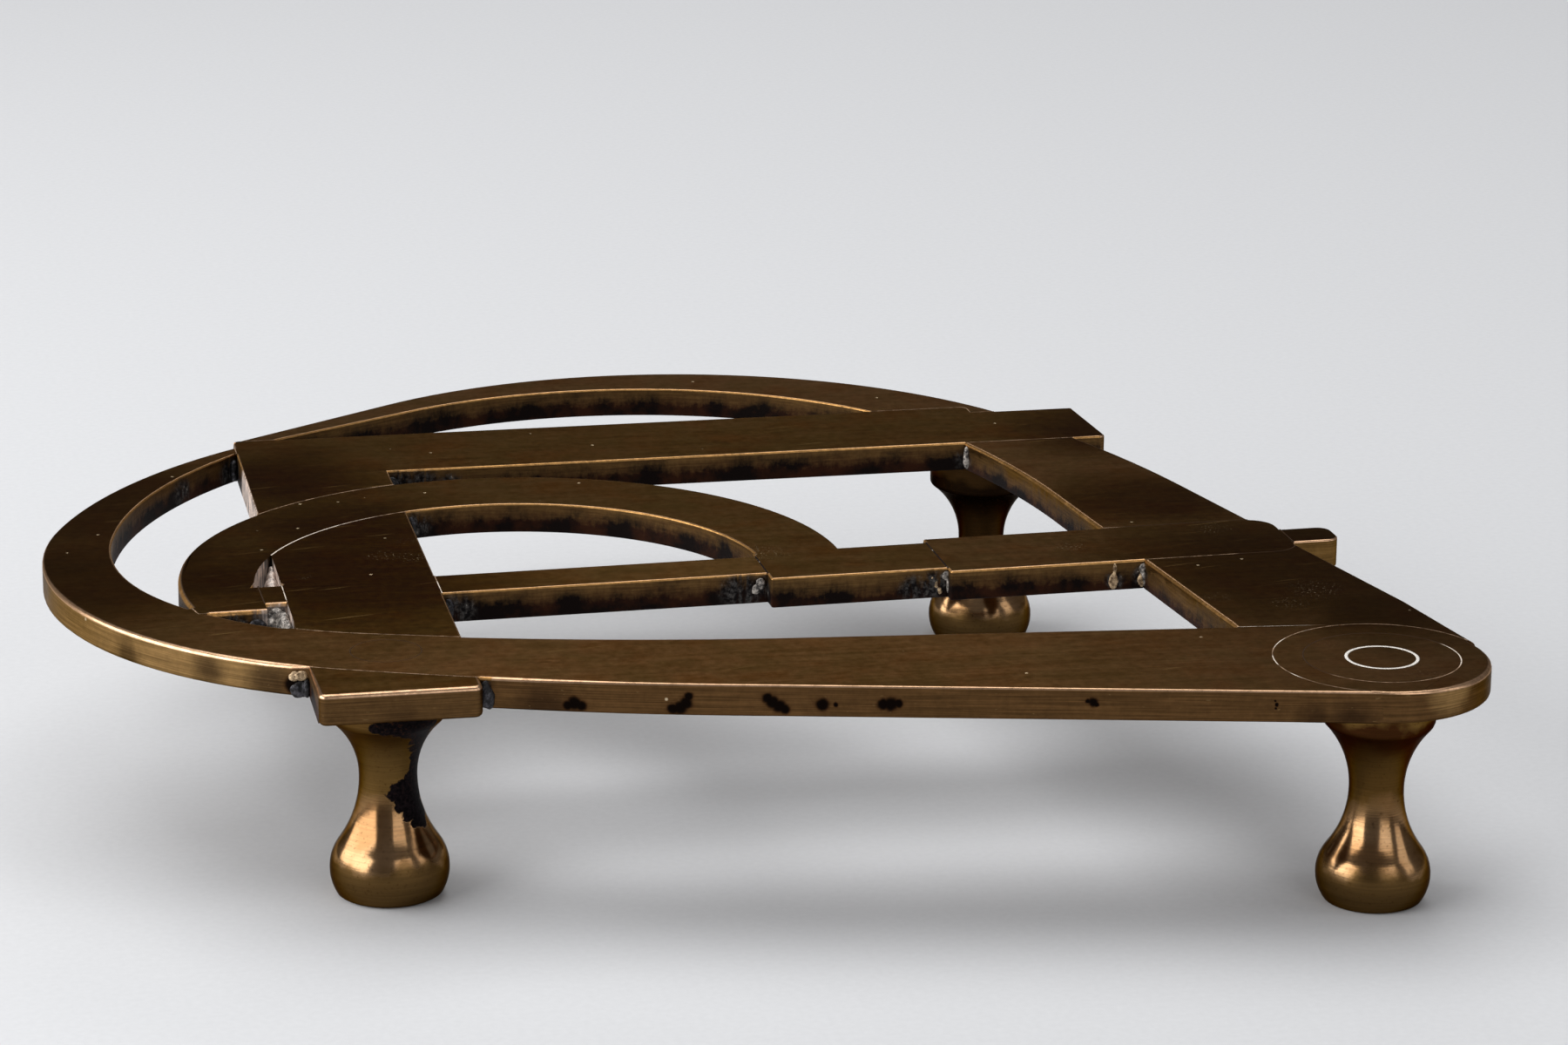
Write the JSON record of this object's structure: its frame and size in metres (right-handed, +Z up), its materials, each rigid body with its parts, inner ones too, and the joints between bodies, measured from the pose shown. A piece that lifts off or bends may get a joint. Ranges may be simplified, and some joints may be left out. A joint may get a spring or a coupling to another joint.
{
  "type": "trivet",
  "caption": "Low brass trivet pieced together from flat hand-tool shapes, calipers crossed by a flat square and a bow saw, on turned hourglass feet.",
  "frame": {"origin": "middle of the plan, on the table under the feet", "axes": "+Z up, +X along the square's long arm towards the calipers' joint, +Y towards the square's long arm"},
  "size_m": [0.2128, 0.2006, 0.0388],
  "materials": {
    "square": "satin",
    "front_leg": "satin",
    "back_leg": "satin",
    "joint_ring": "satin",
    "joint_washer": "satin",
    "saw_frame": "satin",
    "saw_blade": "satin",
    "saw_handle": "satin",
    "saw_butt": "satin",
    "feet": "polished"
  },
  "bodies": {
    "root": {"square": "square", "front_leg": "front_leg", "back_leg": "back_leg", "joint_ring": "joint_ring", "joint_washer": "joint_washer", "saw_frame": "saw_frame", "saw_blade": "saw_blade", "saw_handle": "saw_handle", "saw_butt": "saw_butt", "front_foot": "feet", "joint_foot": "feet", "back_foot": "feet", "corner_foot": "feet"}
  },
  "joints": []
}
